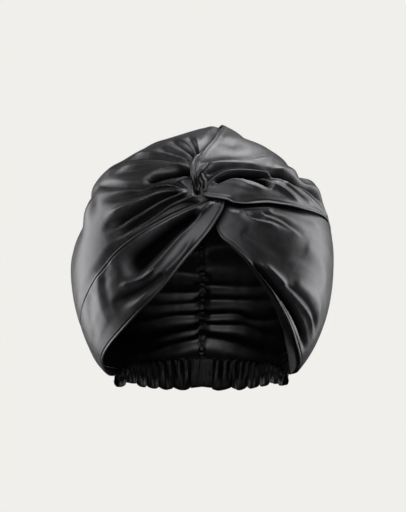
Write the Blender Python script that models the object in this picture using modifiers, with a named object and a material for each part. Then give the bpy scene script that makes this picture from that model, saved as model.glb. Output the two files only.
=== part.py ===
"""Twist-front turban headwrap in black satin, held up as a head holds it.

Metres, +Z up, the front faces -Y. The origin is the middle of the head-girth ring.
Every sheet of cloth is a height above one base form, seen from the origin. Places on the
form are given by a bearing round the front twist (0 right, 90 over the crown, 180 left,
270 down to the face opening) and a reach, the angle away from the twist, in degrees.
"""

import math

import bmesh
import bpy
import numpy as np

# Base form
HALF_WIDTH = 0.118
CROWN_RISE = 0.119
NAPE_DROP = 0.137
FRONT_DEPTH = 0.112
BACK_DEPTH = 0.126
FORM_POWER = 2.15
TWIST_ELEVATION = 39.5

# Cloth
CLOTH = 0.0015
TUCK_DEPTH = 0.0031
STACK_TUCK = 0.0004
CREST_START = 0.55
CREST_RUN = 0.3
STACK_LIFT = 0.0015
TUCK_RUN = 0.010
EDGE_LIFT = 0.0012
EDGE_RUN = 0.007
UNDERLAP = 0.008
UNDERLAP_GROWTH = 0.2
FACING_UNDERLAP = 0.0056
SEAM_GAP = 0.0014
FOLD_HEIGHT = 0.006
FOLD_WIDTH = 0.010
FOLD_RISE_SHARE = 0.12
FOLD_FALL_SHARE = 0.3
RUCHE_HEIGHT = 0.0055
RUCHE_WIDTH = 0.009
RUCHE_FADE = 6
BULGE_HEIGHT = 0.010
BULGE_WIDTH = 0.030

# Nape casing
CASING_HEIGHT = 0.029
CASING_TUCK = 0.008
CASING_INSET = 0.0043
HEM_END_LONGITUDE = 60
HEM_END_SPREAD = 9
CASING_DRAW = 0.002
CASING_GATHERS = 11
CASING_SIDE_GAP = 1.0
GATHER_DEPTH = 0.0020
GATHER_GROWTH = 0.4
SCALLOP_DROP = 0.0015
TAB_HALF_TURN = 7.7
# Casing height by the share of the way from the nape to the corner
CASING_PROFILE = ((0.0, 1.03), (0.15, 1.12), (0.34, 1.08), (0.56, 0.88), (0.75, 0.7), (1.0, 0.4))

# Seam strip and twist
SEAM_STRIP_WIDTH = 0.007
SEAM_STRIP_DROP = 0.0036
SEAM_STRIP_START_SHARE = 0.36
SEAM_STRIP_END_SHARE = 0.97
PUCKER_HEIGHT = 0.0006
PUCKERS = 14
KNOT_REACH = 7
KNOT_DEPTH = 0.0057
LOOP_RADIUS = 0.0030
LOOP_TAPER = 0.45
LOOP_CLEARANCE = 0.0018

# The lower edge of the cloth, as back longitude and latitude in degrees
CORNER_LONGITUDE = 80
CORNER_LATITUDE = -53
NAPE_LATITUDE = -52.4
LEFT_HEM_LONGITUDE = 58
RIGHT_HEM_LONGITUDE = 56
FACING_TURN = 3

# Points along a line, along the lower edge, and skipped where a fold is measured from its line
LINE_POINTS = 61
HEM_POINTS = 24
POINT_STEP = 4
ROW_CROWDING = 0.45
FRONT_END = 0.28
FRONT_FADE = 0.07
SATIN_ROUGHNESS = 0.34
CASING_ROUGHNESS = 0.4
SATIN_SHEEN = 0.3

# Lines on the form, rows of (bearing, reach)
SEAM = ((128, 6.5), (103, 13), (89, 20), (83, 29), (81, 42), (80, 56), (86, 72), (90, 92), (90, 115),
        (90, 138), (90, 160), (90, 180))
LEFT_HEM = ((262, 6.5), (238, 11), (221, 16), (213, 24), (209, 33), (207, 44), (208, 67), (208, 89),
            (210, 112))
LEFT_EDGE = ((303, 10), (281, 18), (271, 22), (261, 28), (246, 46), (237, 63), (227, 93))
ARC_HEM = ((62, 4.5), (46, 12.5), (38, 18), (30, 25), (21, 38), (15.5, 50), (12, 61), (11.5, 74))
LOBE_EDGE = ((312, 5), (334, 11), (344, 20), (353, 28), (358, 37), (2, 51), (6, 64), (7.5, 74))
RIGHT_HEM = ((11, 79), (6, 90), (358, 103), (346, 118))
RIGHT_EDGE = ((291, 19.5), (295, 22), (302, 28), (307, 44), (310, 65), (311, 81), (314, 99))
RIGHT_FACING = ((292, 24), (299, 36), (303, 50), (305, 65), (306, 82), (309, 104))
TUCK_LEFT = ((322, 7.5), (298, 10), (284, 16))
TUCK_RIGHT = ((345, 12.5), (322, 17), (298, 22))
LOOP_LINE = ((104, 13), (115, 9), (130, 5.5), (165, 2.8), (250, 1.2), (40, 2.2), (70, 6), (79, 9), (76, 13))

# Folds: name, line, width at its two ends, height at its two ends, lean of its steep side
FOLDS = (
    ("crown pleat valley", ((93, 15), (96, 25), (101, 37)), 0.35, 0.6, -0.5, -0.3, 0.0),
    ("crown pleat slope", ((98, 17), (109, 26), (121, 36)), 0.4, 0.9, -0.55, -0.4, 0.3),
    ("upper fold shadow", ((107, 13), (127, 24), (137, 38), (142, 54)), 0.4, 1.0, -0.5, -0.35, 0.4),
    ("upper fold", ((112, 13), (128, 18), (142, 28), (150, 44)), 0.45, 1.1, 0.45, 0.5, 0.0),
    ("slot upper lip", ((114, 9), (137, 16), (152, 21), (162, 26)), 0.35, 0.4, 0.45, 0.3, -0.3),
    ("slot", ((126, 9), (143, 13), (158, 18), (165, 24)), 0.45, 0.5, -0.8, -0.5, 0.0),
    ("slot lower lip", ((124, 7), (143, 10), (163, 17), (167, 25)), 0.35, 0.5, 0.35, 0.3, 0.2),
    ("long crease", ((166, 11), (171, 20), (168, 33), (163, 45), (160, 62)), 0.35, 0.6, -0.5, -0.3, 0.3),
    ("under crease fold", ((173, 9), (175, 22), (181, 33), (184, 50)), 0.45, 1.0, 0.4, 0.35, 0.0),
    ("side fold", ((186, 11), (184, 24), (187, 38), (190, 55)), 0.4, 1.0, 0.25, 0.3, 0.0),
    ("side fold shadow", ((184, 9), (194, 18), (195, 33), (193, 50)), 0.4, 1.0, -0.4, -0.35, 0.2),
    ("left side long fold", ((173, 48), (176, 72), (184, 100)), 1.2, 1.8, 0.35, 0.25, 0.0),
    ("left back shadow", ((161, 52), (158, 78), (160, 108)), 0.9, 1.8, -0.4, -0.3, 0.2),
    ("left back fold", ((150, 44), (146, 74), (146, 112)), 1.2, 2.0, 0.35, 0.3, 0.0),
    ("left crown shadow", ((136, 46), (128, 74), (124, 108)), 0.9, 1.8, -0.35, -0.3, 0.0),
    ("left crown fold", ((121, 40), (114, 72), (108, 106)), 1.1, 1.8, 0.3, 0.25, 0.0),
    ("right crown shadow", ((62, 44), (64, 72), (68, 104)), 0.9, 1.8, -0.35, -0.3, 0.0),
    ("right back fold", ((48, 52), (46, 80), (48, 110)), 1.1, 2.0, 0.35, 0.3, 0.0),
    ("right back shadow", ((34, 58), (28, 84), (26, 112)), 1.0, 1.8, -0.35, -0.3, 0.0),
    ("hem companion fold", ((199, 9), (204, 20), (203, 33), (201, 50)), 0.4, 0.9, 0.35, 0.25, 0.0),
    ("band hollow", ((251, 14), (238, 23), (232, 33), (226, 46)), 0.5, 1.0, -0.7, -0.6, -0.3),
    ("band ridge", ((256, 13), (244, 20), (236, 31), (231, 43), (224, 52)), 0.4, 0.7, 0.75, 0.4, 0.3),
    ("band second valley", ((250, 26), (243, 38), (235, 50), (226, 63)), 0.6, 0.9, -0.3, -0.45, 0.0),
    ("band soft ridge", ((262, 20), (250, 32), (241, 45), (233, 60)), 0.5, 1.0, 0.2, 0.45, 0.0),
    ("left side valley", ((211, 66), (213, 78), (215, 92)), 0.8, 0.8, -0.35, -0.2, 0.0),
    ("left side ridge", ((216, 60), (222, 70), (227, 84)), 0.8, 1.0, 0.3, 0.2, 0.0),
    ("shoulder crease", ((27, 30), (25, 38), (24, 50)), 0.5, 0.8, -0.35, -0.4, 0.3),
    ("crown front crease", ((76, 13), (58, 19), (44, 28), (41, 40), (43, 52)), 0.35, 0.6, -0.25, -0.2, 0.3),
    ("lobe valley", ((36, 14), (24, 23), (14, 34), (10, 46)), 0.45, 0.7, -0.8, -0.5, 0.0),
    ("lobe upper ridge", ((30, 9), (20, 17), (9, 28), (5, 42)), 0.6, 1.0, 0.55, 0.3, 0.0),
    ("lobe shadow", ((338, 16), (349, 27), (357, 40), (1, 54)), 0.5, 0.9, -0.6, -0.4, 0.3),
    ("right band crease", ((335, 19), (335, 27), (340, 36), (341, 47)), 0.4, 0.7, -0.3, -0.2, 0.0),
    ("right band long valley", ((313, 40), (317, 56), (318, 74), (318, 92)), 0.5, 0.7, -0.6, -0.5, 0.3),
    ("right band long ridge", ((307, 33), (317, 46), (322, 62), (325, 84)), 0.6, 0.9, 0.5, 0.5, 0.0),
    ("right side valley", ((324, 60), (328, 74), (328, 90)), 0.6, 0.8, -0.4, -0.3, 0.0),
    ("right side ridge", ((335, 52), (333, 66), (331, 84)), 0.8, 1.0, 0.35, 0.3, 0.0),
)

# Ruching on the inside of the back: name, line of (back longitude, latitude), then as above
RUCHES = (
    ("right high", ((-5, -3), (12, -1), (26, -3)), 0.7, 1.2, -0.5, -0.2, 0.0),
    ("right second", ((-5, -10), (14, -11), (30, -12)), 0.9, 1.6, -0.5, -0.2, 0.0),
    ("right third", ((-5, -18), (14, -19), (40, -17)), 0.7, 1.3, -0.8, -0.4, 0.0),
    ("right fourth", ((-5, -25), (14, -25), (46, -22)), 0.7, 1.3, -0.9, -0.5, 0.0),
    ("right loop top", ((-5, -32), (16, -31), (28, -33), (54, -28)), 0.55, 1.0, -0.9, -0.5, 0.0),
    ("right loop foot", ((-5, -36), (20, -36), (34, -38), (62, -38)), 0.55, 1.1, -0.9, -0.4, 0.0),
    ("right lobe", ((-5, -43), (20, -45), (44, -48), (70, -48)), 0.9, 1.6, -0.8, -0.5, 0.0),
    ("left high", ((5, -5), (-8, -4), (-20, -4)), 0.6, 1.0, -0.5, -0.2, 0.0),
    ("left second", ((5, -15), (-10, -13), (-26, -12)), 0.7, 1.2, -0.7, -0.3, 0.0),
    ("left third", ((5, -21), (-10, -22), (-30, -20)), 0.7, 1.2, -0.8, -0.4, 0.0),
    ("left fourth", ((5, -26), (-12, -27), (-36, -26)), 0.7, 1.3, -0.7, -0.4, 0.0),
    ("left loop", ((5, -32), (-12, -32), (-24, -33), (-44, -33)), 0.6, 1.2, -0.9, -0.3, 0.0),
    ("left long", ((5, -37), (-14, -40), (-36, -43), (-62, -43)), 0.8, 1.5, -0.9, -0.5, 0.0),
    ("left low", ((5, -44), (-16, -47), (-40, -49), (-66, -49)), 0.7, 1.2, -0.6, -0.3, 0.0),
)

# Broad shapes: name, bearing, reach, width and height as shares of the bulge sizes
BULGES = (
    ("crown tip", 80, 57, 0.55, 0.48),
    ("crown dimple", 66, 32, 0.35, -0.2),
    ("left of the tip", 108, 61, 0.9, -0.95),
    ("left of the crown", 137, 70, 1.3, -0.95),
    ("right of the tip", 58, 64, 0.8, -0.75),
    ("right of the crown", 43, 70, 0.85, -1.15),
    ("right shoulder", 20, 64, 0.6, 0.45),
    ("left side flat", 168, 80, 1.0, -0.85),
    ("right cheek", 345, 60, 1.3, 0.15),
    ("left hem corner", 212, 118, 0.9, -0.2),
    ("twist hollow", 90, 1, 0.5, -0.35),
)


def unit(vectors):
    return vectors / np.linalg.norm(vectors, axis=-1, keepdims=True)


def directions(bearing, reach):
    """Unit directions at bearings round the twist and reaches away from it."""
    rise = math.radians(TWIST_ELEVATION)
    twist = np.array((0.0, -math.cos(rise), math.sin(rise)))
    right = np.array((1.0, 0.0, 0.0))
    over = np.array((0.0, math.sin(rise), math.cos(rise)))
    turn, away = np.radians(bearing)[..., None], np.radians(reach)[..., None]
    return np.cos(away) * twist + np.sin(away) * (np.cos(turn) * right + np.sin(turn) * over)


def back_direction(longitude, latitude):
    """The unit direction at a longitude from the middle of the back, positive to the right."""
    longitude, latitude = np.radians(longitude), np.radians(latitude)
    return np.stack((np.cos(latitude) * np.sin(longitude), np.cos(latitude) * np.cos(longitude),
                     np.sin(latitude) + 0 * longitude), axis=-1)


def base_radius(ways):
    """Distance from the origin to the plain form along each direction."""
    depth = np.where(ways[..., 1] < 0, FRONT_DEPTH, BACK_DEPTH)
    rise = np.where(ways[..., 2] < 0, NAPE_DROP, CROWN_RISE)
    total = (np.abs(ways[..., 0] / HALF_WIDTH) ** FORM_POWER + np.abs(ways[..., 1] / depth) ** FORM_POWER
             + np.abs(ways[..., 2] / rise) ** FORM_POWER)
    return total ** (-1 / FORM_POWER)


def smooth(share):
    share = np.clip(share, 0.0, 1.0)
    return share * share * (3 - 2 * share)


def curve(knots, count):
    """Directions evenly spaced along a smooth curve through the knots."""
    knots = np.asarray(knots)
    ends = np.vstack((2 * knots[0] - knots[1], knots, 2 * knots[-1] - knots[-2]))
    fine = []
    for before, start, end, after in zip(ends, ends[1:], ends[2:], ends[3:]):
        for t in np.arange(0, 1, 0.05):
            fine.append(0.5 * (2 * start + (end - before) * t + (2 * before - 5 * start + 4 * end - after) * t ** 2
                               + (3 * start - before - 3 * end + after) * t ** 3))
    fine = unit(np.array(fine + [knots[-1]]))
    steps = np.concatenate(((0.0,), np.cumsum(np.linalg.norm(np.diff(fine, axis=0), axis=1))))
    even = np.linspace(0, steps[-1], count)
    return unit(np.stack([np.interp(even, steps, fine[:, axis]) for axis in range(3)], axis=-1))


def line(rows, end=None):
    """A smooth line through rows of (bearing, reach), and to a last direction where one is given."""
    knots = directions(*np.array(rows, float).T)
    return curve(knots if end is None else np.vstack((knots, end)), LINE_POINTS)


def shifted(ways, sideways):
    """A line of directions moved sideways, in metres, positive to its left as seen from outside."""
    along = np.gradient(ways, axis=0)
    left = unit(np.cross(ways, along))
    return unit(ways + left * (np.asarray(sideways) / base_radius(ways))[:, None])


def beside(ways, path):
    """Signed distance in metres from a line, positive to its left, and the share of the way along it."""
    best = np.full(ways.shape[:-1], 9.0)
    side, share = np.zeros_like(best), np.zeros_like(best)
    for index, (start, end) in enumerate(zip(path, path[1:])):
        step = end - start
        t = np.clip((ways - start) @ step / (step @ step), 0, 1)
        gap = np.linalg.norm(ways - start - t[..., None] * step, axis=-1)
        near = gap < best
        best = np.where(near, gap, best)
        side = np.where(near, np.sign(ways @ np.cross(start, end)), side)
        share = np.where(near, (index + t) / (len(path) - 1), share)
    return best * side * base_radius(ways), share


def fold_relief(ways, path, widths, heights, lean, size):
    """One ridge or valley along a line, fading at both ends."""
    across, along = beside(ways, path)
    width = size * (widths[0] + (widths[1] - widths[0]) * along)
    height = heights[0] + (heights[1] - heights[0]) * along
    width = width * np.where(across > 0, 1 + lean, 1 - lean)
    ends = smooth(along / FOLD_RISE_SHARE) * smooth((1 - along) / FOLD_FALL_SHARE)
    return height * ends * np.exp(-(across / width) ** 2)


def relief(ways):
    """Height of all folds, ruches and bulges above the plain form."""
    total = np.zeros(ways.shape[:-1])
    for name, rows, near_width, far_width, near_height, far_height, lean in FOLDS:
        path = line(rows)[::POINT_STEP]
        shape = fold_relief(ways, path, (near_width, far_width), (near_height, far_height), lean, FOLD_WIDTH)
        total += FOLD_HEIGHT * shape
    latitude = np.degrees(np.arcsin(ways[..., 2]))
    above = smooth((latitude - NAPE_LATITUDE) / RUCHE_FADE)
    for name, rows, near_width, far_width, near_height, far_height, lean in RUCHES:
        path = curve(back_direction(*np.array(rows, float).T), LINE_POINTS)[::POINT_STEP]
        shape = fold_relief(ways, path, (near_width, far_width), (near_height, far_height), lean, RUCHE_WIDTH)
        total += RUCHE_HEIGHT * shape * above
    for name, bearing, reach, width, height in BULGES:
        middle = directions(np.array(bearing), np.array(reach))
        away = np.linalg.norm(ways - middle, axis=-1) * base_radius(ways)
        total += BULGE_HEIGHT * height * np.exp(-(away / (BULGE_WIDTH * width)) ** 2)
    return total


def tuck(distance):
    """How far a sheet sinks near and under the edge of the sheet that covers it."""
    return TUCK_DEPTH * smooth(1 - distance / TUCK_RUN)


def lift(distance):
    """How far a covering sheet rises towards its own edge."""
    return EDGE_LIFT * smooth(1 - distance / EDGE_RUN)


def lower_edge(longitudes):
    """Directions along the cloth's lower edge, which dips a little towards the nape."""
    shares = np.asarray(longitudes) / CORNER_LONGITUDE
    return back_direction(np.asarray(longitudes), NAPE_LATITUDE + (CORNER_LATITUDE - NAPE_LATITUDE) * shares ** 2)


def slerp(first, second, share):
    angle = np.arccos(np.clip(np.sum(first * second, axis=-1), -1, 1))[..., None]
    share = share[..., None]
    return (np.sin((1 - share) * angle) * first + np.sin(share * angle) * second) / np.sin(angle)


def along_line(path, share):
    """Directions at shares of the way along a line."""
    at = np.linspace(0, 1, len(path))
    return unit(np.stack([np.interp(share, at, path[:, axis]) for axis in range(3)], axis=-1))


def spread(first, second, last, u, v):
    """Directions of a sheet between two lines, u along them and v across, ending on a last line."""
    ways = slerp(along_line(first, u), along_line(second, u), v)
    if last is None:
        return ways
    plain_end = slerp(np.broadcast_to(first[-1], ways.shape), np.broadcast_to(second[-1], ways.shape), v)
    return unit(ways + (along_line(last, v) - plain_end) * (u ** 3)[..., None])


def front_fade(along, start=FRONT_END):
    """1 where the right half of the crown laps over the left one, 0 behind the crown tip."""
    return 1 - smooth((along - start) / FRONT_FADE)


def front_share(seam):
    """The lap along the seam's own points, which closes before the layers come level."""
    return front_fade(np.linspace(0, 1, len(seam)), FRONT_END - FRONT_FADE)


def crest(share):
    """Grows from 0 to 1 where the lobe's far end lies over two other layers."""
    return smooth((share - CREST_START) / CREST_RUN)


def satin(name, tone, roughness):
    material = bpy.data.materials.new(name)
    material.use_nodes = True
    shader = material.node_tree.nodes["Principled BSDF"]
    shader.inputs["Base Color"].default_value = (tone, tone, tone * 1.05, 1)
    shader.inputs["Roughness"].default_value = roughness
    shader.inputs["Metallic"].default_value = 0.0
    shader.inputs["Sheen Weight"].default_value = SATIN_SHEEN
    return material


def wall(name, rows, columns, place, collection, material):
    """A grid bent by place(u, v) and given the cloth's thickness on its inner side."""
    bm = bmesh.new()
    bmesh.ops.create_grid(bm, x_segments=columns, y_segments=rows, size=1)
    flat = np.array([vertex.co[:] for vertex in bm.verts])
    points = place((flat[:, 1] + 1) / 2, (flat[:, 0] + 1) / 2)
    for vertex, point in zip(bm.verts, points):
        vertex.co = point
    bm.normal_update()
    if sum(face.normal.dot(face.calc_center_median()) * face.calc_area() for face in bm.faces) < 0:
        bmesh.ops.reverse_faces(bm, faces=bm.faces)
    mesh = bpy.data.meshes.new(name)
    bm.to_mesh(mesh)
    bm.free()
    mesh.shade_smooth()
    mesh.materials.append(material)
    piece = bpy.data.objects.new(name, mesh)
    collection.objects.link(piece)
    thickness = piece.modifiers.new("thickness", "SOLIDIFY")
    thickness.thickness = CLOTH
    thickness.offset = -1
    return piece


def lay(ways, heights):
    """Points at heights above the plain form."""
    return ways * (base_radius(ways) + heights)[..., None]


def foot(first, second):
    """The stretch of the lower edge between the ends of two lines."""
    ends = [math.degrees(math.atan2(side[-1, 0], side[-1, 1])) for side in (first, second)]
    return lower_edge(np.linspace(*ends, HEM_POINTS))


def grown(length):
    """A sideways allowance that grows from nothing near the twist."""
    return length * smooth(np.linspace(0, 1, LINE_POINTS) / UNDERLAP_GROWTH)


def crowded(u):
    """Rows set closer together towards the nape, where the cloth is ruched."""
    return u * (1 + ROW_CROWDING * (1 - u))


def crown_left(seam, hem):
    front = front_share(seam)
    first = shifted(seam, SEAM_GAP * (1 - front) - grown(UNDERLAP) * front)
    second = shifted(hem, grown(UNDERLAP))

    def place(u, v):
        ways = spread(first, second, foot(first, second), crowded(u), v)
        from_seam, along = beside(ways, seam)
        from_hem = -beside(ways, hem)[0]
        fore = front_fade(along)
        return lay(ways, relief(ways) - np.maximum(fore * tuck(from_seam), tuck(from_hem)))

    return place


def crown_right(seam, hem):
    front = front_share(seam)
    first = shifted(seam, -SEAM_GAP * (1 - front))
    second = shifted(hem, -grown(UNDERLAP))

    def place(u, v):
        ways = spread(first, second, foot(first, second), crowded(u), v)
        from_seam, along = beside(ways, seam)
        from_hem = beside(ways, hem)[0]
        return lay(ways, relief(ways) + front_fade(along) * lift(-from_seam) - tuck(from_hem))

    return place


def band_left(hem, edge):
    def place(u, v):
        ways = spread(hem, edge, foot(hem, edge), u, v)
        return lay(ways, relief(ways) + lift(beside(ways, hem)[0]))

    return place


def band_right_upper(arc, lobe):
    def place(u, v):
        ways = spread(arc, lobe, None, u, v)
        from_arc, from_lobe = -beside(ways, arc)[0], beside(ways, lobe)[0]
        return lay(ways, relief(ways) + lift(np.minimum(from_arc, from_lobe)) + STACK_LIFT * crest(u))

    return place


def band_right_lower(lobe, hem, edge):
    under = shifted(lobe, UNDERLAP * (1 - crest(np.linspace(0, 1, LINE_POINTS)) / 2))
    first = curve(np.vstack((under[POINT_STEP + 2::POINT_STEP], hem[POINT_STEP + 2::POINT_STEP])), LINE_POINTS)

    def place(u, v):
        ways = spread(first, edge, foot(first, edge), u, v)
        across, along = beside(ways, lobe)
        covered = tuck(-across) * (1 - crest(along)) + STACK_TUCK * crest(along) * smooth(1 - u)
        return lay(ways, relief(ways) - covered)

    return place


def facing_right(edge, inner):
    first = shifted(edge, FACING_UNDERLAP)

    def place(u, v):
        ways = spread(first, inner, foot(first, inner), u, v)
        return lay(ways, relief(ways) - TUCK_DEPTH)

    return place


def twist_tuck(left, right):
    def place(u, v):
        ways = spread(left, right, None, u, v)
        return lay(ways, relief(ways) - 2 * TUCK_DEPTH)

    return place


def twist_knot(u, v):
    """A small dished patch behind the middle of the twist."""
    x, y = 2 * v - 1, 2 * u - 1
    # Squeezes the square grid into a disc.
    wide, high = x * np.sqrt(1 - y * y / 2), y * np.sqrt(1 - x * x / 2)
    reach = np.hypot(wide, high) * KNOT_REACH
    bearing = np.degrees(np.arctan2(high, wide))
    ways = directions(bearing, reach)
    return lay(ways, relief(ways) - KNOT_DEPTH)


def back_seam(seam):
    """A puckered strip inside the centre seam, from behind the crown tip to the nape."""
    start, end = (int(share * len(seam)) for share in (SEAM_STRIP_START_SHARE, SEAM_STRIP_END_SHARE))
    left = shifted(seam, SEAM_STRIP_WIDTH / 2)[start:end]
    right = shifted(seam, -SEAM_STRIP_WIDTH / 2)[start:end]

    def place(u, v):
        ways = spread(left, right, None, u, v)
        pucker = PUCKER_HEIGHT * np.sin(2 * math.pi * PUCKERS * u)
        return lay(ways, relief(ways) - SEAM_STRIP_DROP + pucker)

    return place


def casing(start, end, gathers):
    """A gathered elastic casing under the lower edge, between two back longitudes."""
    stations, shares = np.array(CASING_PROFILE).T

    def place(u, v):
        longitude = start + (end - start) * v
        ways = lower_edge(longitude)
        # Steps further in where a tucked crown end lies between the band and the casing.
        doubled = np.exp(-((np.abs(longitude) - HEM_END_LONGITUDE) / HEM_END_SPREAD) ** 2)
        top = lay(ways, relief(ways) - CASING_INSET - TUCK_DEPTH * doubled)
        top[:, 2] += CASING_TUCK
        outward = unit(np.stack((ways[:, 0], ways[:, 1], 0 * longitude), axis=-1))
        wave = np.sin(2 * math.pi * gathers * v) if gathers else 0 * v
        height = CASING_HEIGHT * np.interp(np.abs(longitude) / CORNER_LONGITUDE, stations, shares)
        drop = u * (height + SCALLOP_DROP * wave) + CASING_TUCK * u
        swell = GATHER_DEPTH * wave * smooth(u / GATHER_GROWTH) - CASING_DRAW * u
        points = top + outward * swell[:, None]
        points[:, 2] -= drop
        return points

    return place


def twist_loop(collection, material):
    """The rolled edge that curls through the middle of the twist."""
    ways = line(LOOP_LINE)[::POINT_STEP]
    points = lay(ways, relief(ways) + LOOP_RADIUS + LOOP_CLEARANCE)
    data = bpy.data.curves.new("twist_loop", "CURVE")
    data.dimensions = "3D"
    data.bevel_depth = LOOP_RADIUS
    data.bevel_resolution = 2
    data.use_fill_caps = True
    spline = data.splines.new("POLY")
    spline.points.add(len(points) - 1)
    share = np.linspace(0, 1, len(points))
    sizes = 1 - LOOP_TAPER * np.abs(2 * share - 1) ** 3
    for knot, point, size in zip(spline.points, points, sizes):
        knot.co = (*point, 1)
        knot.radius = size
    data.materials.append(material)
    piece = bpy.data.objects.new("twist_loop", data)
    collection.objects.link(piece)
    return piece


def build():
    for old in list(bpy.data.objects):
        bpy.data.objects.remove(old, do_unlink=True)
    collection = bpy.data.collections.new("turban_headwrap")
    bpy.context.scene.collection.children.link(collection)

    seam = line(SEAM, lower_edge(0.0))
    left_hem = line(LEFT_HEM, lower_edge(-LEFT_HEM_LONGITUDE))
    left_edge = line(LEFT_EDGE, lower_edge(-CORNER_LONGITUDE))
    arc = line(ARC_HEM)
    lobe = line(LOBE_EDGE)
    right_hem = line(RIGHT_HEM, lower_edge(RIGHT_HEM_LONGITUDE))
    crown_hem = line(ARC_HEM + RIGHT_HEM, lower_edge(RIGHT_HEM_LONGITUDE))
    right_edge = line(RIGHT_EDGE, lower_edge(CORNER_LONGITUDE))
    right_facing = line(RIGHT_FACING, lower_edge(CORNER_LONGITUDE + FACING_TURN))

    # Name, rows, columns, shape and tone of the satin
    pieces = (
        ("crown_left", 40, 17, crown_left(seam, left_hem), 0.012),
        ("crown_right", 40, 17, crown_right(seam, crown_hem), 0.013),
        ("band_left", 20, 12, band_left(left_hem, left_edge), 0.012),
        ("band_right_upper", 14, 9, band_right_upper(arc, lobe), 0.013),
        ("band_right_lower", 20, 13, band_right_lower(lobe, right_hem, right_edge), 0.012),
        ("facing_right", 18, 3, facing_right(right_edge, right_facing), 0.010),
        ("twist_tuck", 6, 3, twist_tuck(line(TUCK_LEFT), line(TUCK_RIGHT)), 0.010),
        ("twist_knot", 8, 8, twist_knot, 0.010),
        ("back_seam", 40, 2, back_seam(seam), 0.010),
    )
    for name, rows, columns, place, tone in pieces:
        wall(name, rows, columns, place, collection, satin(name + " satin", tone, SATIN_ROUGHNESS))
    tab = TAB_HALF_TURN
    gap = CASING_SIDE_GAP
    wall("nape_band_left", 3, 36, casing(-CORNER_LONGITUDE + gap, -tab - gap, CASING_GATHERS), collection,
         satin("left casing satin", 0.011, CASING_ROUGHNESS))
    wall("nape_band_right", 3, 36, casing(CORNER_LONGITUDE - gap, tab + gap, CASING_GATHERS), collection,
         satin("right casing satin", 0.011, CASING_ROUGHNESS))
    wall("nape_tab", 3, 4, casing(-tab, tab, 0), collection, satin("tab satin", 0.011, CASING_ROUGHNESS))
    twist_loop(collection, satin("loop satin", 0.013, SATIN_ROUGHNESS))


build()
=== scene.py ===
import math

import bpy
import numpy as np
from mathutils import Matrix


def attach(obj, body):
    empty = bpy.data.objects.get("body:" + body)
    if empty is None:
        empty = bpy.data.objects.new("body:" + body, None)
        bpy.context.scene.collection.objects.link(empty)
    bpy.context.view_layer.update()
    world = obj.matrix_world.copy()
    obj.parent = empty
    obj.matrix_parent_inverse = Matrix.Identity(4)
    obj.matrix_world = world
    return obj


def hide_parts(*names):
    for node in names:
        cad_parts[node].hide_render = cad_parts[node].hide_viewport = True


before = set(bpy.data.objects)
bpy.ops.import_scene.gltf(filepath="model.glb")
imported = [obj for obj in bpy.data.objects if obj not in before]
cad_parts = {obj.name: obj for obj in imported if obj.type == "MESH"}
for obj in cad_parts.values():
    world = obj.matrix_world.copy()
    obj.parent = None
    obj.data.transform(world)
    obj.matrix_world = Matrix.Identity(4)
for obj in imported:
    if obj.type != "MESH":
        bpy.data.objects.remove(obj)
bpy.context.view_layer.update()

# Black satin turban headwrap, held up as a head holds it. Metres, +Z up, the front faces -Y.
# Every sheet is a height above one plain form, seen from the origin. Lines on the form are rows of
# (bearing, reach): bearing turns round the front twist (0 right, 90 over the crown, 180 left, 270 down
# to the face opening), and reach is the angle away from the twist, both in degrees.

form = {
    "halfWidth": 0.118, "crownRise": 0.119, "napeDrop": 0.137, "frontDepth": 0.112, "backDepth": 0.126,
    "power": 2.15, "twistElevation": 39.5,
}
cloth = {
    "thickness": 0.0008, "tuckDepth": 0.0031, "tuckRun": 0.010, "edgeLift": 0.0012, "edgeRun": 0.007,
    "underlap": 0.008, "hemWidth": 0.0026, "hemGroove": 0.0005, "grooveWidth": 0.0006, "edgeRoll": 0.0009,
    "nominalRadius": 0.115, "leastFlatWidth": 0.012,
}
# How the painted shade grows: with the depth of folds and ruches, under covers, and over the whole inner
# side, less at the nape
shading = {
    "hollowDepth": 0.0062, "ruchDepth": 0.0042, "coverStart": 0.0012, "coverDepth": 0.0019,
    "insideShade": 0.8, "insideShadeFade": 0.95, "fadeLatitude": -24, "fadeRun": 16,
}
lowerEdgeAt = {"cornerLongitude": 80, "cornerLatitude": -53, "napeLatitude": -52.4,
               "leftHem": 58, "rightHem": 56, "facingTurn": 3}

lines = {
    "seam": ((150, 2.0), (139, 3.1), (126, 6.2), (115, 9.6), (105, 13.7), (92, 18.3), (86, 23.4), (81, 31.2),
             (80, 42), (80, 56), (86, 72), (90, 92), (90, 115), (90, 138), (90, 160), (90, 180)),
    "leftHem": ((10, 4.0), (335, 4.8), (305, 6.0), (270, 6.8), (241, 8.9), (223, 15.4), (215, 24.6),
                (211, 34), (209, 45.3), (208.5, 56), (208, 67), (208, 89), (210, 112)),
    "leftEdge": ((5, 12.5), (348, 10.5), (329, 11), (313, 12.7), (296, 14.9), (282, 18.2), (269, 23),
                 (257, 31), (246, 46), (237, 63), (227, 93)),
    "arcHem": ((268, 1.0), (62, 3.4), (53, 8.0), (45, 13.3), (37, 18.2), (30, 23.7), (25, 30.4), (20.5, 38),
               (16.5, 45), (12, 53), (9.5, 60), (8, 68), (7.5, 74)),
    "lobeEdge": ((272, 2.4), (319, 5.4), (334, 10.4), (338, 14.8), (343, 18.9), (350, 23.8), (354.5, 28.8),
                 (357, 34.6), (358.5, 39.2), (0.5, 46), (3.2, 55), (5.2, 62), (6.4, 68), (6.8, 74)),
    "rightHem": ((7, 80), (4, 90), (357, 103), (346, 118)),
    "rightEdge": ((289.5, 17.0), (291.5, 22.6), (299, 28), (304, 34.8), (307.5, 44), (309.5, 54),
                  (310, 65), (311, 81), (313, 99)),
    "rightFacing": ((297, 26), (303, 34.5), (305.5, 44), (307, 52), (308, 62), (308, 73),
                    (307.5, 84), (308.5, 100)),
    "tuckLeft": ((322, 8.5), (303, 11), (285, 16.5)),
    "tuckRight": ((342, 17.5), (322, 17.8), (300, 20)),
}
linePoints, curveSteps = 121, 20


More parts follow.
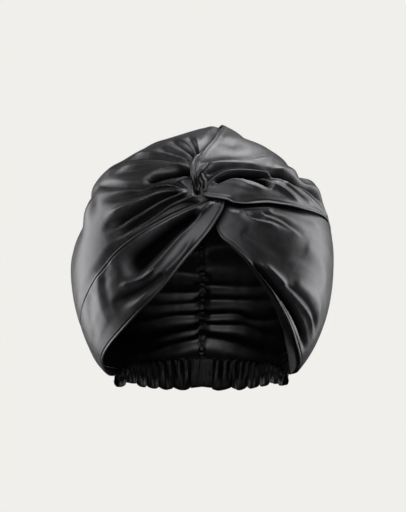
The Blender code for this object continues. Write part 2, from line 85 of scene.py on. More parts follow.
def unit(vectors):
    return vectors / np.linalg.norm(vectors, axis=-1, keepdims=True)


def wayOf(bearing, reach):
    # direction = cos(reach) * twist + sin(reach) * (cos(bearing) * right + sin(bearing) * over)
    rise = math.radians(form["twistElevation"])
    twist = np.array((0.0, -math.cos(rise), math.sin(rise)))
    over = np.array((0.0, math.sin(rise), math.cos(rise)))
    turn, away = np.radians(bearing)[..., None], np.radians(reach)[..., None]
    return np.cos(away) * twist + np.sin(away) * (np.cos(turn) * np.array((1.0, 0, 0)) + np.sin(turn) * over)


def backWay(longitude, latitude):
    # direction at a longitude from the middle of the back, positive to the right, and a latitude
    longitude, latitude = np.radians(longitude), np.radians(latitude)
    return np.stack((np.cos(latitude) * np.sin(longitude), np.cos(latitude) * np.cos(longitude),
                     np.sin(latitude) + 0 * longitude), axis=-1)


def plainRadius(ways):
    # superquadric: |x/a|^p + |y/b|^p + |z/c|^p = 1, with unlike front, back, top and bottom
    depth = np.where(ways[..., 1] < 0, form["frontDepth"], form["backDepth"])
    rise = np.where(ways[..., 2] < 0, form["napeDrop"], form["crownRise"])
    power = form["power"]
    total = (np.abs(ways[..., 0] / form["halfWidth"]) ** power + np.abs(ways[..., 1] / depth) ** power
             + np.abs(ways[..., 2] / rise) ** power)
    return total ** (-1 / power)


def smooth(share):
    share = np.clip(share, 0.0, 1.0)
    return share * share * (3 - 2 * share)


def domed(x, power):
    # a flat-topped arch: sqrt(1 - x^power)
    return np.sqrt(np.clip(1 - x ** power, 0, 1))


def curveThrough(knots, count):
    # Catmull-Rom through the knots, then even spacing by arc length
    knots = np.asarray(knots, float)
    ends = np.vstack((2 * knots[0] - knots[1], knots, 2 * knots[-1] - knots[-2]))
    p0, p1, p2, p3 = (ends[i:len(ends) - 3 + i, None, :] for i in range(4))
    t = np.linspace(0, 1, curveSteps, endpoint=False)[None, :, None]
    fine = 0.5 * (2 * p1 + (p2 - p0) * t + (2 * p0 - 5 * p1 + 4 * p2 - p3) * t ** 2
                  + (3 * p1 - p0 - 3 * p2 + p3) * t ** 3)
    fine = np.vstack((fine.reshape(-1, knots.shape[1]), knots[-1:]))
    steps = np.concatenate(((0.0,), np.cumsum(np.linalg.norm(np.diff(fine, axis=0), axis=1))))
    even = np.linspace(0, steps[-1], count)
    return np.stack([np.interp(even, steps, fine[:, k]) for k in range(fine.shape[1])], axis=-1)


def lineOn(rows, end=None, count=linePoints):
    knots = wayOf(*np.array(rows, float).T)
    return unit(curveThrough(knots if end is None else np.vstack((knots, end)), count))


def shifted(path, sideways):
    # moves a line of directions to its left, as seen from outside, by metres
    left = unit(np.cross(path, np.gradient(path, axis=0)))
    return unit(path + left * (np.asarray(sideways) / plainRadius(path))[:, None])


def beside(ways, path):
    # signed distance in metres from a line (positive to its left), share of the way along it, and its left
    best = np.full(ways.shape[:-1], 9.0)
    side, share, left = np.zeros_like(best), np.zeros_like(best), np.zeros(ways.shape)
    for index, (start, end) in enumerate(zip(path, path[1:])):
        step = end - start
        t = np.clip((ways - start) @ step / (step @ step), 0, 1)
        gap = np.linalg.norm(ways - start - t[..., None] * step, axis=-1)
        near = gap < best
        best[near] = gap[near]
        normal = np.cross(start, end)
        side[near] = np.sign(ways[near] @ normal)
        left[near] = normal / np.linalg.norm(normal)
        share[near] = (index + t[near]) / (len(path) - 1)
    return best * side * plainRadius(ways), share, left


def lowerEdge(longitudes):
    shares = np.asarray(longitudes, float) / lowerEdgeAt["cornerLongitude"]
    nape, corner = lowerEdgeAt["napeLatitude"], lowerEdgeAt["cornerLatitude"]
    return backWay(np.asarray(longitudes, float), nape + (corner - nape) * shares ** 2)


# Folds: line, width and height in millimetres at its two ends, lean (its left side wider), sharpness
# (1.3 crisp, 2 round, 3 flat-topped) and roll (how far the crest leans over to its left, as a share)
crownFolds = {
    "pleat one ridge": (((91.5, 17.5), (93, 23), (94, 29), (95, 36)),
        (1.5, 3.0), (2.6, 0.8), 0.3, 1.3, 0.3),
    "pleat one valley": (((93, 17), (95.5, 23), (98, 29), (101, 37)),
        (1.5, 4.0), (-5.0, -1.2), 0.0, 1.5, 0.0),
    "pleat two ridge": (((94.5, 17), (99, 23), (103, 29.5), (107, 37)),
        (1.5, 3.6), (3.0, 0.8), 0.4, 1.3, 0.3),
    "pleat two valley": (((97, 16.5), (104, 22.3), (109, 28.5), (114, 38)),
        (1.8, 5.5), (-4.6, -2.4), 0.0, 1.6, 0.0),
    "pleat three ridge": (((99, 15.6), (108, 19.6), (115, 25), (120, 33)),
        (1.6, 4.4), (2.6, 1.4), 0.3, 1.4, 0.3),
    "pleat three valley": (((101, 15), (113, 19.3), (121, 25), (127, 34)),
        (1.6, 5.5), (-3.6, -2.0), 0.2, 1.6, 0.0),
    "top fold edge": (((104, 14.2), (118, 19.6), (127, 26.2), (134, 35), (138, 46)),
        (1.6, 6.0), (3.4, 2.2), -0.5, 1.3, 0.4),
    "under the top fold": (((107, 13.2), (123, 18), (133, 25.6), (141, 36), (146, 48)),
        (1.8, 5.0), (-3.2, -2.0), 0.4, 1.7, 0.0),
    "upper bright band": (((113, 12), (130, 17.6), (141, 26.5), (148, 35), (152, 47)),
        (2.0, 8.0), (2.8, 2.6), 0.0, 1.8, 0.2),
    "above the slot": (((118, 11), (135, 16.2), (147, 24), (153, 34), (155, 46)),
        (1.5, 4.5), (-3.2, -1.8), 0.0, 1.6, 0.0),
    "slot upper lip": (((112, 9.6), (121, 12), (132, 15.2), (140, 18.4), (150, 22), (160, 25)),
        (1.6, 2.2), (3.0, 1.8), -0.4, 1.3, -0.5),
    "slot": (((116, 9), (127, 10.8), (136, 12.4), (147, 15.2), (155, 18.4), (160, 21.4), (165, 26)),
        (3.2, 3.4), (-10.0, -9.0), 0.0, 3.0, 0.0),
    "slot lower lip": (((124, 7.6), (140, 9.3), (157, 11.9), (166, 16), (168, 21), (166, 26)),
        (1.5, 2.2), (3.0, 2.2), 0.3, 1.3, 0.5),
    "long crease": (((187, 5.6), (163, 8.2), (162, 14), (167, 20.4), (169, 27), (165, 39), (157, 58)),
        (1.5, 3.6), (-5.6, -3.4), 0.4, 1.4, 0.0),
    "long crease lip": (((176, 7), (166, 10), (167.5, 16), (171, 24), (172, 31), (169, 42)),
        (1.4, 3.4), (2.4, 1.8), -0.4, 1.3, 0.4),
    "first side valley": (((178, 8.4), (173.5, 12.1), (175, 18.4), (176.5, 26.6), (175, 37.7), (172, 48)),
        (1.5, 4.4), (-4.2, -3.2), 0.2, 1.5, 0.0),
    "first side ridge": (((182, 6.8), (177, 9.6), (179, 16.7), (184, 25), (185, 35), (185, 46)),
        (1.5, 4.0), (3.8, 2.8), 0.3, 1.4, 0.3),
    "second side valley": (((187, 7.4), (183, 12), (188, 19), (192, 29), (193, 38.6), (193, 48)),
        (2.2, 5.0), (-6.6, -5.6), 0.3, 1.5, 0.0),
    "second side ridge": (((196, 5.6), (190, 9), (194, 17), (198, 28), (198, 42)),
        (1.4, 3.0), (3.6, 2.4), 0.0, 1.3, 0.3),
    "third side valley": (((214, 4.4), (199, 8.4), (200, 15), (202.5, 23), (201.5, 34), (200, 47)),
        (1.7, 4.4), (-5.6, -4.8), 0.2, 1.5, 0.0),
    "third side ridge": (((262, 2.6), (225, 4), (204, 8.2), (203, 13), (206.5, 20), (206, 33), (204, 46)),
        (1.4, 3.2), (3.0, 1.8), 0.3, 1.3, 0.4),
    "hem valley": (((275, 4.6), (246, 6.0), (218, 9), (210, 16), (209, 24), (207, 36)),
        (1.4, 2.2), (-3.0, -1.2), 0.0, 1.6, 0.0),
    "left side long fold": (((173, 48), (176, 72), (184, 100)), (9.0, 16.0), (3.2, 2.4), 0.0, 2.0, 0.0),
    "left back shadow": (((161, 52), (158, 78), (160, 108)), (6.0, 13.0), (-3.4, -2.6), 0.2, 2.0, 0.0),
    "left back fold": (((150, 44), (146, 74), (146, 112)), (9.0, 16.0), (2.8, 2.4), 0.0, 2.0, 0.0),
    "left crown shadow": (((136, 46), (128, 74), (124, 108)), (6.0, 13.0), (-3.0, -2.4), 0.0, 2.0, 0.0),
    "left crown fold": (((121, 40), (114, 72), (108, 106)), (11.0, 18.0), (1.8, 1.5), 0.0, 2.0, 0.0),
    "right crown shadow": (((62, 44), (64, 72), (68, 104)), (6.0, 13.0), (-3.0, -2.4), 0.0, 2.0, 0.0),
    "right back fold": (((48, 52), (46, 80), (48, 110)), (9.0, 16.0), (2.8, 2.4), 0.0, 2.0, 0.0),
    "right back shadow": (((34, 58), (28, 84), (26, 112)), (6.0, 13.0), (-3.0, -2.4), 0.0, 2.0, 0.0),
    "crown front crease": (((97, 12), (92, 13.3), (74, 15.6), (57, 20), (47, 24.5), (43.5, 31), (43, 40),
        (44, 50)), (1.4, 4.0), (-2.2, -1.2), 0.5, 1.4, 0.0),
    "crown front swell": (((84, 12), (58, 16), (44, 20), (35, 27), (30, 33)),
        (2.6, 5.0), (2.2, 1.8), 0.2, 1.7, 0.0),
    "crown lower crease": (((82, 8), (64, 10.8), (52.5, 14.8), (42, 19.6), (35, 25)),
        (1.6, 2.4), (-2.2, -1.2), 0.0, 1.5, 0.0),
    "shoulder shade": (((26, 30), (23.5, 35), (22, 39), (20, 43), (18, 49), (17.5, 57), (16.5, 66),
        (15, 76)), (3.4, 8.0), (-8.0, -10.0), 0.1, 2.8, 0.0),
    "shoulder ridge": (((27, 36), (28.5, 45), (29, 54), (28, 63), (26, 72)),
        (4.0, 6.0), (2.2, 3.4), 0.0, 1.8, 0.0),
    "wedge fold": (((19, 42), (15, 49), (13, 57), (11.5, 66)), (1.8, 3.6), (2.4, 2.8), 0.3, 1.5, 0.0),
    "twist pit": (((100, 5.5), (125, 4.0), (200, 2.2), (240, 3.2)),
        (2.4, 2.0), (-7.0, -4.0), 0.0, 2.2, 0.0),
}
bandFolds = {
    "band hollow": (((268, 8.6), (252, 12.6), (243, 16.8), (235.5, 22), (231, 28.5), (228, 35),
        (225, 43), (222, 52)), (2.4, 11.0), (-8.0, -9.5), -0.2, 2.3, 0.0),
    "band ridge": (((312, 6.2), (290, 7.6), (265, 10.2), (251, 14.4), (244, 20), (239, 27.1),
        (235, 36.5), (231.5, 43.2), (227, 48), (221, 52)), (1.4, 3.4), (3.4, 3.2), 0.6, 1.3, 0.5),
    "band second valley": (((245, 38), (240, 45), (234, 52), (228, 59), (224, 66)),
        (2.4, 5.6), (-3.8, -4.4), 0.2, 2.0, 0.0),
    "band soft ridge": (((262, 20), (253, 29), (245, 38), (239, 48), (236, 55), (231, 64)),
        (3.0, 5.0), (1.6, 2.8), 0.0, 1.5, 0.0),
    "band fine ridge": (((236, 39), (232, 45), (226, 51), (222, 56)),
        (1.6, 3.0), (2.2, 1.2), 0.4, 1.4, 0.3),
    "left side first valley": (((209, 50), (212, 56), (217, 61), (222.5, 65), (228, 69)),
        (4.4, 6.0), (-0.8, -0.6), 0.0, 1.8, 0.0),
    "left side first ridge": (((209, 58), (214.5, 65), (220.5, 70), (228, 74)),
        (5.0, 7.0), (0.8, 0.6), 0.0, 1.8, 0.0),
    "left side second valley": (((210, 68), (214, 76), (219, 84), (222, 94)),
        (6.0, 8.0), (-0.9, -0.7), 0.0, 1.8, 0.0),
    "lens black": (((33, 5.6), (34, 9), (31.5, 13), (28, 17.5), (23.5, 23), (20.5, 29.5), (18, 36)),
        (1.9, 3.4), (-9.5, -6.5), 0.0, 3.0, 0.0),
    "lens lower black": (((25, 18.6), (19, 22.8), (13.5, 27), (9.5, 31)),
        (2.0, 2.0), (-7.5, -6.0), 0.0, 2.6, 0.0),
    "lens body ridge": (((20, 3.6), (31, 6), (31, 9.4), (25.5, 12.7), (19, 16), (12, 19.2), (8, 24),
        (6, 29)), (1.6, 3.0), (2.6, 2.2), -0.3, 1.6, -0.3),
    "lens inner fold": (((23, 20.4), (17, 24.8), (12, 29.2), (9, 34.9), (5.5, 40), (3, 46)),
        (1.4, 3.2), (4.6, 1.8), 0.3, 1.4, 0.3),
    "lens last fold": (((17, 37), (13, 41), (9, 47), (7.5, 54)), (2.0, 3.0), (2.0, 1.6), 0.0, 1.6, 0.0),
    "lens lower shade": (((336, 11), (345, 17.5), (352, 24), (357, 31), (1, 41)),
        (2.0, 4.0), (-1.8, -1.2), 0.3, 1.8, 0.0),
    "under lens fold": (((335, 17.8), (341, 21), (347, 25), (352, 30), (355, 36)),
        (1.2, 2.4), (2.6, 1.2), -0.3, 1.3, -0.4),
    "right band crease": (((337, 18), (333.5, 20.5), (333.5, 24), (339.5, 30), (342, 36.8), (343, 44)),
        (1.3, 4.0), (-2.4, -1.2), 0.3, 1.4, 0.0),
    "right band crease lip": (((334, 18.3), (330.5, 21), (331, 25), (336.5, 31), (340, 37)),
        (1.2, 3.0), (2.2, 1.2), -0.2, 1.4, 0.3),
    "right band soft crease": (((342, 26), (345, 31), (346, 36.5), (345, 41), (345, 50)),
        (1.5, 5.0), (-1.8, -1.2), 0.0, 1.5, 0.0),
    "right band soft lip": (((340, 27), (342.5, 33), (343.5, 40), (343, 50)),
        (1.8, 5.0), (1.4, 1.0), 0.0, 1.5, 0.0),
    "right band upper shade": (((349, 29), (352, 38), (354, 47), (357, 57)),
        (3.0, 6.0), (-1.8, -1.4), 0.0, 1.9, 0.0),
    "right band lower shade": (((314, 24), (321, 31), (324, 39), (328, 48)),
        (4.0, 8.0), (-1.4, -1.0), 0.0, 1.9, 0.0),
    "right band long valley": (((306, 37), (309.5, 46), (312, 56), (314, 67), (315, 80), (315, 94)),
        (1.5, 3.0), (-7.5, -7.0), 0.4, 2.2, 0.0),
    "right band edge ridge": (((301, 31), (305, 38), (307.5, 48), (310, 60), (311, 74), (311, 92)),
        (1.3, 2.0), (2.4, 1.8), 0.0, 1.4, 0.0),
    "right band long ridge": (((311, 38), (314.5, 46), (317.5, 57), (320, 67), (321.5, 78), (320, 92)),
        (2.6, 3.4), (2.2, 3.6), 0.2, 1.5, 0.3),
    "right band second valley": (((316, 52), (320, 62), (323, 72), (324, 84), (322, 94)),
        (2.4, 4.0), (-2.6, -3.0), 0.0, 1.7, 0.0),
    "right band second ridge": (((322, 56), (327, 67), (329.5, 77), (327, 88)),
        (4.0, 6.0), (1.2, 1.2), 0.0, 1.8, 0.0),
    "right side ridge": (((341, 50), (341, 66), (336, 80)), (7.0, 9.0), (1.0, 1.0), 0.0, 1.8, 0.0),
}
# Ruching inside the back, rows of (back longitude, latitude); negative heights bulge inwards
ruches = {
    "right high": (((-5, -3), (12, -1), (26, -3)), (5.0, 8.0), (-2.6, -1.2), 0.0, 1.6, 0.0),
    "right second": (((-5, -10), (14, -11), (30, -12)), (6.0, 11.0), (-2.6, -1.2), 0.0, 1.8, 0.0),
    "right third": (((-5, -18), (14, -19), (40, -17)), (4.5, 8.0), (-4.2, -2.2), 0.0, 1.5, 0.0),
    "right fourth": (((-5, -25), (14, -25), (46, -22)), (4.5, 8.0), (-4.8, -2.8), 0.0, 1.5, 0.0),
    "right loop top": (((-5, -32), (16, -31), (28, -33), (54, -28)),
        (3.6, 7.0), (-5.0, -2.8), 0.0, 1.4, 0.0),
    "right loop foot": (((-5, -36), (20, -36), (34, -38), (62, -38)),
        (3.6, 8.0), (-5.0, -2.4), 0.0, 1.4, 0.0),
    "right lobe": (((-5, -41), (18, -44), (42, -48), (70, -48.5)), (6.5, 9.0), (-5.4, -4.0), 0.0, 1.8, 0.0),
    "left high": (((5, -5), (-8, -4), (-20, -4)), (4.0, 7.0), (-2.8, -1.2), 0.0, 1.6, 0.0),
    "left second": (((5, -15), (-10, -13), (-26, -12)), (4.6, 8.5), (-4.0, -1.8), 0.0, 1.6, 0.0),
    "left third": (((5, -21), (-10, -22), (-30, -20)), (4.6, 8.5), (-4.4, -2.2), 0.0, 1.5, 0.0),
    "left fourth": (((5, -26), (-12, -27), (-36, -26)), (4.6, 8.5), (-4.0, -2.2), 0.0, 1.5, 0.0),
    "left loop": (((5, -32), (-12, -32), (-24, -33), (-44, -33)), (4.0, 8.0), (-5.0, -1.8), 0.0, 1.4, 0.0),
    "left long": (((5, -37), (-14, -40), (-36, -43), (-62, -43)), (5.5, 11.0), (-5.0, -2.8), 0.0, 1.5, 0.0),
    "left low": (((5, -42), (-14, -45), (-38, -48.5), (-66, -49)), (4.4, 7.0), (-5.0, -3.4), 0.0, 1.6, 0.0),
}
# Broad shapes: bearing, reach, width and height in millimetres
bulges = {
    "crown tip": (80, 57, 16.5, 4.6), "crown dimple": (66, 32, 10.5, -2.0),
    "left of the tip": (116, 57, 27, -9.5),
    "left of the crown": (137, 70, 39, -9.5), "right of the tip": (58, 64, 24, -7.5),
    "right of the crown": (43, 70, 25.5, -11.5), "right shoulder": (20, 64, 18, 4.5),
    "left side flat": (167, 80, 29, -11.0), "left shoulder swell": (154, 69, 22, 3.8),
    "right notch": (30, 56, 12, -7.0), "left side notch": (175, 66, 15, -5.0),
    "left top dip": (114, 49, 13, -4.5), "right cheek": (345, 60, 39, 1.5),
    "left hem corner": (216, 120, 22, 4.5), "twist hollow": (90, 1, 15, -3.0),
}


folding = {"points": 21, "fadeIn": 0.12, "fadeOut": 0.3, "reachInWidths": 3.6, "radius": 110,
           "widestAngle": 3.1, "napeFade": 6}


def foldShape(ways, path, widths, heights, lean, sharpness, roll):
    # height * exp(-(distance / width)^sharpness), fading at both ends of the line
    across, along, left = beside(ways, path)
    width = (widths[0] + (widths[1] - widths[0]) * along) / 1000
    width = width * np.where(across > 0, 1 + lean, 1 - lean)
    height = (heights[0] + (heights[1] - heights[0]) * along) / 1000
    ends = smooth(along / folding["fadeIn"]) * smooth((1 - along) / folding["fadeOut"])
    rise = height * ends * np.exp(-(np.abs(across) / width) ** sharpness)
    return rise, left * (roll * rise)[..., None]


def foldPaths():
    # every fold's line as directions, with the rest of its row and whether it is a ruche
    count = folding["points"]
    rows = [(lineOn(row[0], count=count), *row[1:], False)
            for row in (*crownFolds.values(), *bandFolds.values())]
    for row in ruches.values():
        path = unit(curveThrough(backWay(*np.array(row[0], float).T), count))
        rows.append((path, *row[1:], True))
    return rows


allFolds = foldPaths()
print("folds read:", len(allFolds))


def relief(ways):
    # sum of all folds and bulges: height above the plain form, sideways shift, and the shade of the outer
    # and the inner side, 0 lit to 1 deep in a fold. A fold is worked out only near its own line
    flat = ways.reshape(-1, 3)
    rise, shift = np.zeros(len(flat)), np.zeros(flat.shape)
    sunk, pushed = np.zeros(len(flat)), np.zeros(len(flat))
    latitude = np.degrees(np.arcsin(np.clip(flat[:, 2], -1, 1)))
    aboveNape = smooth((latitude - lowerEdgeAt["napeLatitude"]) / folding["napeFade"])
    for path, widths, heights, lean, sharpness, roll, inside in allFolds:
        middle = unit(path.mean(axis=0))
        spanAngle = math.acos(min(1.0, float((path @ middle).min())))
        spanAngle += folding["reachInWidths"] * max(widths) * (1 + abs(lean)) / folding["radius"]
        near = flat @ middle > math.cos(min(spanAngle, folding["widestAngle"]))
        if not near.any():
            continue
        more, moved = foldShape(flat[near], path, widths, heights, lean, sharpness, roll)
        fade = aboveNape[near] if inside else 1.0
        rise[near] += more * fade
        shift[near] += moved
        (pushed if inside else sunk)[near] -= np.minimum(more * fade, 0)
    for bearing, reach, width, height in bulges.values():
        middle = wayOf(np.array(bearing, float), np.array(reach, float))
        away = np.linalg.norm(flat - middle, axis=-1) * plainRadius(flat)
        rise += height / 1000 * np.exp(-(away / (width / 1000)) ** 2)
    atNape = smooth((shading["fadeLatitude"] - latitude) / shading["fadeRun"])
    # painted shade on the inner side: everywhere, less towards the nape and on the crests of ruches
    insideShade = shading["insideShade"] * (1 - shading["insideShadeFade"] * atNape)
    shades = smooth(sunk / shading["hollowDepth"]), insideShade * smooth(1 - pushed / shading["ruchDepth"])
    outer, inner = (shade.reshape(ways.shape[:-1]) for shade in shades)
    return rise.reshape(ways.shape[:-1]), shift.reshape(ways.shape), outer, inner


def tuck(distance):
    return cloth["tuckDepth"] * smooth(1 - distance / cloth["tuckRun"])


def lift(distance):
    return cloth["edgeLift"] * smooth(1 - distance / cloth["edgeRun"])


def hem(distance):
    # a rolled edge: a quarter circle over the roll, and a stitched groove one hem width in
    roll, groove = cloth["edgeRoll"], cloth["grooveWidth"]
    closeness = np.clip(1 - distance / roll, 0, 1)
    edge = -roll * (1 - np.sqrt(1 - closeness ** 2))
    return edge - cloth["hemGroove"] * np.exp(-((distance - cloth["hemWidth"]) / groove) ** 2)


noiseSize = 64
noiseTable = np.random.default_rng(7).uniform(-1, 1, (noiseSize, noiseSize))


def noise(x, y):
    # value noise on a table that repeats, eased between its entries
    xi, yi = np.floor(x).astype(int), np.floor(y).astype(int)
    fx, fy = smooth(x - xi), smooth(y - yi)
    x0, x1, y0, y1 = xi % noiseSize, (xi + 1) % noiseSize, yi % noiseSize, (yi + 1) % noiseSize
    a, b = noiseTable[x0, y0], noiseTable[x1, y0]
    c, d = noiseTable[x0, y1], noiseTable[x1, y1]
    return (a * (1 - fx) + b * fx) * (1 - fy) + (c * (1 - fx) + d * fx) * fy


def slerp(first, second, share):
    angle = np.arccos(np.clip(np.sum(first * second, axis=-1), -1, 1))[..., None]
    share = share[..., None]
    return (np.sin((1 - share) * angle) * first + np.sin(share * angle) * second) / np.sin(angle)


def alongLine(path, share):
    at = np.linspace(0, 1, len(path))
    return unit(np.stack([np.interp(share, at, path[:, k]) for k in range(3)], axis=-1))


def between(first, second, last, u, v):
    # directions between two lines, u along them and v across, bent to end on a last line
    ways = slerp(alongLine(first, u), alongLine(second, u), v)
    if last is None:
        return ways
    plainEnd = slerp(np.broadcast_to(first[-1], ways.shape), np.broadcast_to(second[-1], ways.shape), v)
    return unit(ways + (alongLine(last, v) - plainEnd) * (u ** 3)[..., None])


# Columns beside a hem, in millimetres from its edge, and the most of a width that they take up
edgeStops = np.array((0.0, 0.12, 0.25, 0.4, 0.6, 0.85, 1.2, 1.6, 2.0, 2.3, 2.6, 2.9, 3.3, 4.0)) / 1000
edgeShare = 0.3


def sharesAcross(first, second, u, count):
    # places across each row: close together beside both hems, even between them
    a, b = alongLine(first, u), alongLine(second, u)
    width = np.arccos(np.clip(np.sum(a * b, axis=-1), -1, 1)) * plainRadius(unit(a + b))
    reach = np.minimum(edgeStops[-1], edgeShare * width)[:, None]
    near = edgeStops[None, :] / edgeStops[-1] * reach / width[:, None]
    inner = reach / width[:, None]
    middle = inner + (1 - 2 * inner) * np.linspace(0, 1, count - 2 * len(edgeStops) + 2)[None, 1:-1]
    return np.hstack((near, middle, 1 - near[:, ::-1])), width


def gridQuads(rows, columns):
    index = np.arange(rows * columns).reshape(rows, columns)
    return np.stack((index[:-1, :-1], index[:-1, 1:], index[1:, 1:], index[1:, :-1]), axis=-1).reshape(-1, 4)


def meshFrom(name, points, material, uvSize, shades, thickness=cloth["thickness"]):
    # a grid of points (rows, columns, 3) as quads that face outwards, with a UV map in metres and the
    # shades of its outer and inner side
    rows, columns = points.shape[:2]
    quads = gridQuads(rows, columns)
    flat = points.reshape(-1, 3)
    a, b, c = flat[quads[:, 0]], flat[quads[:, 1]], flat[quads[:, 2]]
    if (np.cross(b - a, c - a) * (a + c)).sum() < 0:
        quads = quads[:, ::-1]
    mesh = bpy.data.meshes.new(name)
    mesh.from_pydata(flat, [], quads)
    u = np.linspace(0, uvSize[1], rows)[:, None] + np.zeros(columns)
    v = np.zeros((rows, 1)) + np.linspace(0, uvSize[0], columns)
    uv = np.stack((v.ravel(), u.ravel()), axis=-1)[quads.ravel()]
    layer = mesh.uv_layers.new(name="cloth")
    layer.data.foreach_set("uv", uv.astype(np.float32).ravel())
    for side, shade in zip(("outer shade", "inner shade"), shades):
        level = mesh.attributes.new(side, "FLOAT", "POINT")
        level.data.foreach_set("value", np.clip(shade, 0, 1).astype(np.float32).ravel())
    mesh.shade_smooth()
    mesh.materials.append(material)
    piece = bpy.data.objects.new(name, mesh)
    bpy.context.scene.collection.objects.link(piece)
    solid = piece.modifiers.new("cloth thickness", "SOLIDIFY")
    solid.thickness = thickness
    solid.offset = -1
    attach(piece, "root")
    return piece


def layOn(ways, rise, shift):
    return ways * (plainRadius(ways) + rise)[..., None] + shift


def addNode(nodes, kind, **inputs):
    # a node with its input values set; an underscore in a name stands for a space
    made = nodes.new("ShaderNode" + kind)
    for socket, value in inputs.items():
        made.inputs[socket.replace("_", " ")].default_value = value
    return made


def satin(name, look):
    # black satin as a dark metal: tone and gloss follow soft creases, and the drawn shade of the side that
    # is seen darkens and dulls it. The inner side is where the normal points towards the origin
    material = bpy.data.materials.new(name)
    material.use_nodes = True
    nodes, links = material.node_tree.nodes, material.node_tree.links
    shader = nodes["Principled BSDF"]
    shader.inputs["Sheen Weight"].default_value = look["sheen"]
    shader.inputs["Sheen Roughness"].default_value = look["sheenRoughness"]
    shader.inputs["Metallic"].default_value = 1
    place = addNode(nodes, "TexCoord")
    creases = addNode(nodes, "TexNoise", Scale=look["creaseScale"], Detail=3, Roughness=0.45, Distortion=0.6)
    links.new(place.outputs["Object"], creases.inputs["Vector"])
    weave = addNode(nodes, "TexWave", Scale=look["weaveScale"], Distortion=0.4)
    weave.wave_type, weave.bands_direction = "BANDS", "DIAGONAL"
    links.new(place.outputs["UV"], weave.inputs["Vector"])
    creaseBump = addNode(nodes, "Bump", Strength=look["creaseStrength"], Distance=0.001)
    links.new(creases.outputs["Fac"], creaseBump.inputs["Height"])
    weaveBump = addNode(nodes, "Bump", Strength=look["weaveStrength"], Distance=0.0001)
    links.new(weave.outputs["Fac"], weaveBump.inputs["Height"])
    links.new(creaseBump.outputs["Normal"], weaveBump.inputs["Normal"])
    links.new(weaveBump.outputs["Normal"], shader.inputs["Normal"])
    tone = addNode(nodes, "ValToRGB")
    for stop, position, grey in zip(tone.color_ramp.elements, look["toneStops"], look["tones"]):
        stop.position = position
        stop.color = (grey, grey, grey * look["coolness"], 1)
    links.new(creases.outputs["Fac"], tone.inputs["Fac"])
    surface = addNode(nodes, "NewGeometry")
    facing = addNode(nodes, "VectorMath")
    facing.operation = "DOT_PRODUCT"
    links.new(surface.outputs["Position"], facing.inputs[0])
    links.new(surface.outputs["Normal"], facing.inputs[1])
    inward = addNode(nodes, "Math")
    inward.operation = "LESS_THAN"
    inward.inputs[1].default_value = 0
    links.new(facing.outputs["Value"], inward.inputs[0])
    shade = addNode(nodes, "Mix")
    links.new(inward.outputs["Value"], shade.inputs["Factor"])
    for side, socket in (("outer shade", "A"), ("inner shade", "B")):
        level = addNode(nodes, "Attribute")
        level.attribute_name = side
        links.new(level.outputs["Fac"], shade.inputs[socket])
    deep = look["deep"]
    darker = addNode(nodes, "MixRGB", Color2=(deep, deep, deep, 1))
    links.new(shade.outputs["Result"], darker.inputs["Fac"])
    links.new(tone.outputs["Color"], darker.inputs["Color1"])
    links.new(darker.outputs["Color"], shader.inputs["Base Color"])
    low, high = look["roughness"]
    gloss = addNode(nodes, "MapRange", To_Min=low, To_Max=high)
    links.new(creases.outputs["Fac"], gloss.inputs["Value"])
    dulled = addNode(nodes, "Math")
    dulled.operation = "MULTIPLY_ADD"
    dulled.inputs[1].default_value = look["dulling"]
    links.new(shade.outputs["Result"], dulled.inputs[0])
    links.new(gloss.outputs["Result"], dulled.inputs[2])
    links.new(dulled.outputs["Value"], shader.inputs["Roughness"])
    return material


satinLook = {"tones": (0.044, 0.060), "toneStops": (0.3, 0.75), "coolness": 1.04, "deep": 0.002,
             "dulling": 0.25, "roughness": (0.36, 0.46), "sheen": 0.02, "sheenRoughness": 0.4,
             "creaseScale": 110, "creaseStrength": 0.15, "weaveScale": 900,
             "weaveStrength": 0.15}
# the casing is the same satin with darker tones, painted shade for the nape that lies in shadow, and finer
# creases
shadedCasingLook = {**satinLook, "tones": (0.014, 0.023), "creaseScale": 140}
satinCloth = satin("black satin", satinLook)
shadedCasingCloth = satin("shaded casing satin", shadedCasingLook)
print("materials made")

seam = lineOn(lines["seam"], lowerEdge(0.0))
leftHem = lineOn(lines["leftHem"], lowerEdge(-lowerEdgeAt["leftHem"]))
leftEdge = lineOn(lines["leftEdge"], lowerEdge(-lowerEdgeAt["cornerLongitude"]))
arcHem = lineOn(lines["arcHem"])
lobeEdge = lineOn(lines["lobeEdge"])
rightHem = lineOn(lines["rightHem"], lowerEdge(lowerEdgeAt["rightHem"]))
crownHem = lineOn(lines["arcHem"] + lines["rightHem"], lowerEdge(lowerEdgeAt["rightHem"]))
rightEdge = lineOn(lines["rightEdge"], lowerEdge(lowerEdgeAt["cornerLongitude"]))
facingFoot = lowerEdge(lowerEdgeAt["cornerLongitude"] + lowerEdgeAt["facingTurn"])
rightFacing = lineOn(lines["rightFacing"], facingFoot)


# Eased ramps: where each starts and how long it runs, as shares of a line, the last four of a casing's depth.
# Beyond its ramp an underlap is full, the front lap has ended, and layers lie snug
ramps = {"underlap": (0.0, 0.2), "frontLap": (0.28, 0.07), "frontUnderlap": (0.21, 0.07), "snug": (0.22, 0.3),
         "crest": (0.55, 0.3), "corner": (0.5, 0.4), "bandStart": (0.02, 0.06), "lobeLift": (0.75, 0.2),
         "lobeEnd": (0.85, 0.15), "ribStart": (0.0, 0.12), "ribFade": (0.5, 0.3), "puffStart": (0.35, 0.35),
         "scallop": (0.5, 0.5)}
evenShares = np.linspace(0, 1, linePoints)
# Streaks of every sheet: size across and along in metres, depth in millimetres
streaks = ((0.020, 0.09, 0.3), (0.006, 0.045, 0.14))
streakOffset, streakStart = 11, 5
footPoints = 48


def ramp(share, name):
    start, run = ramps[name]
    return smooth((share - start) / run)


def footOf(first, second):
    ends = [math.degrees(math.atan2(side[-1, 0], side[-1, 1])) for side in (first, second)]
    return lowerEdge(np.linspace(*ends, footPoints))


def grown(length):
    return length * ramp(evenShares, "underlap")


